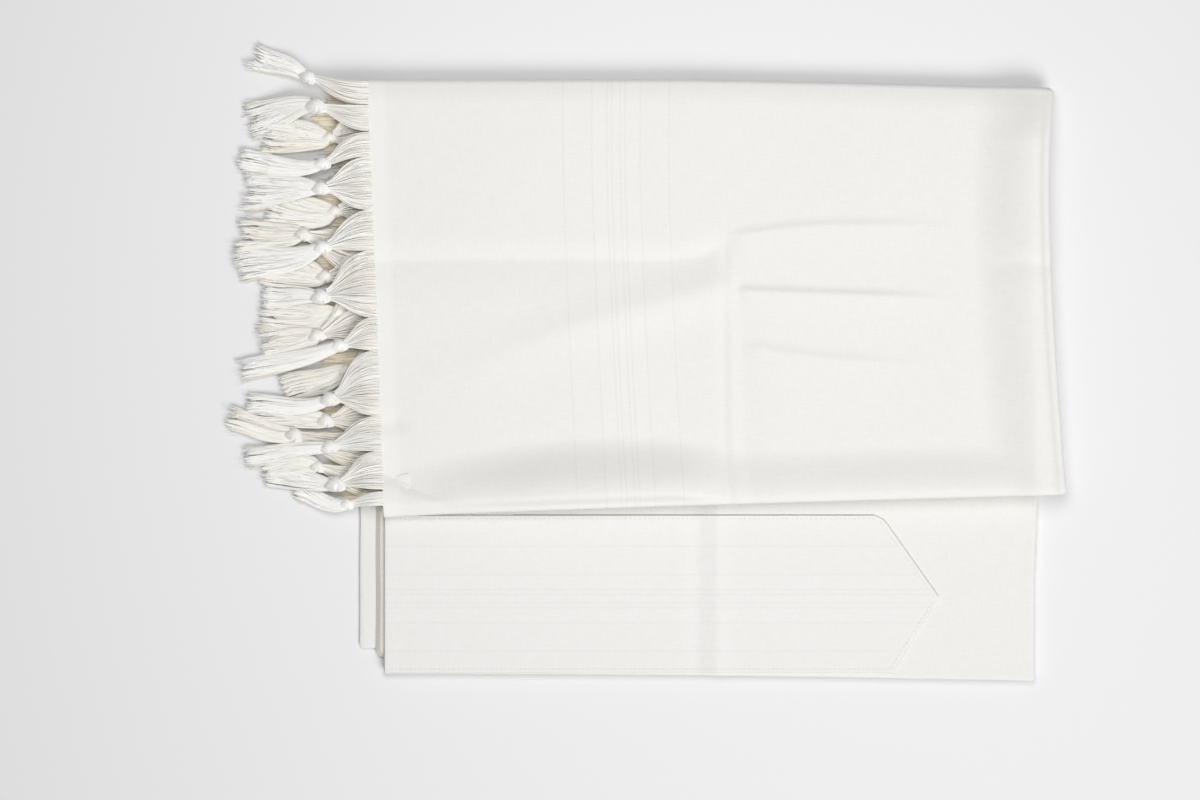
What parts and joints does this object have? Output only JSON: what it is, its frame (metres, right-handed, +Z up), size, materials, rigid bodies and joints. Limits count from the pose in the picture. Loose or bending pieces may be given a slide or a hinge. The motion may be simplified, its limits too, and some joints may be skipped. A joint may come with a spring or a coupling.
{
  "type": "folded prayer shawl",
  "caption": "Wool prayer shawl folded flat into a rectangle, with a pointed neckband along the front edge and a knotted fringe on the left.",
  "frame": {"origin": "under the middle of the whole outline, tassels included, on the surface it lies on", "axes": "+X along the neckband to its pointed end, +Y from the neckband to the back edge of the fringed panel, +Z up"},
  "size_m": [0.583, 0.4408, 0.0211],
  "materials": {
    "wool": "white plain-weave wool with thin tone-on-tone stripes, soft sheen",
    "band_wool": "slightly whiter woven band with stripes along its length, stitched edges",
    "fringe_wool": "off-white twisted yarn, knotted into tassels"
  },
  "bodies": {
    "root": {"hidden_layers": "wool", "centre_fold_outer": "wool", "centre_fold_inner": "wool", "shawl_panel_lower": "wool", "shawl_panel_top": "wool", "neckband": "band_wool", "fringe_top_01": "fringe_wool", "fringe_top_02": "fringe_wool", "fringe_top_03": "fringe_wool", "fringe_top_04": "fringe_wool", "fringe_top_05": "fringe_wool", "fringe_top_06": "fringe_wool", "fringe_top_07": "fringe_wool", "fringe_top_08": "fringe_wool", "fringe_top_09": "fringe_wool", "fringe_top_10": "fringe_wool", "fringe_top_11": "fringe_wool", "fringe_under_01": "fringe_wool", "fringe_under_02": "fringe_wool", "fringe_under_03": "fringe_wool", "fringe_under_04": "fringe_wool", "fringe_under_05": "fringe_wool", "fringe_under_06": "fringe_wool", "fringe_under_07": "fringe_wool", "fringe_under_08": "fringe_wool"}
  },
  "joints": []
}
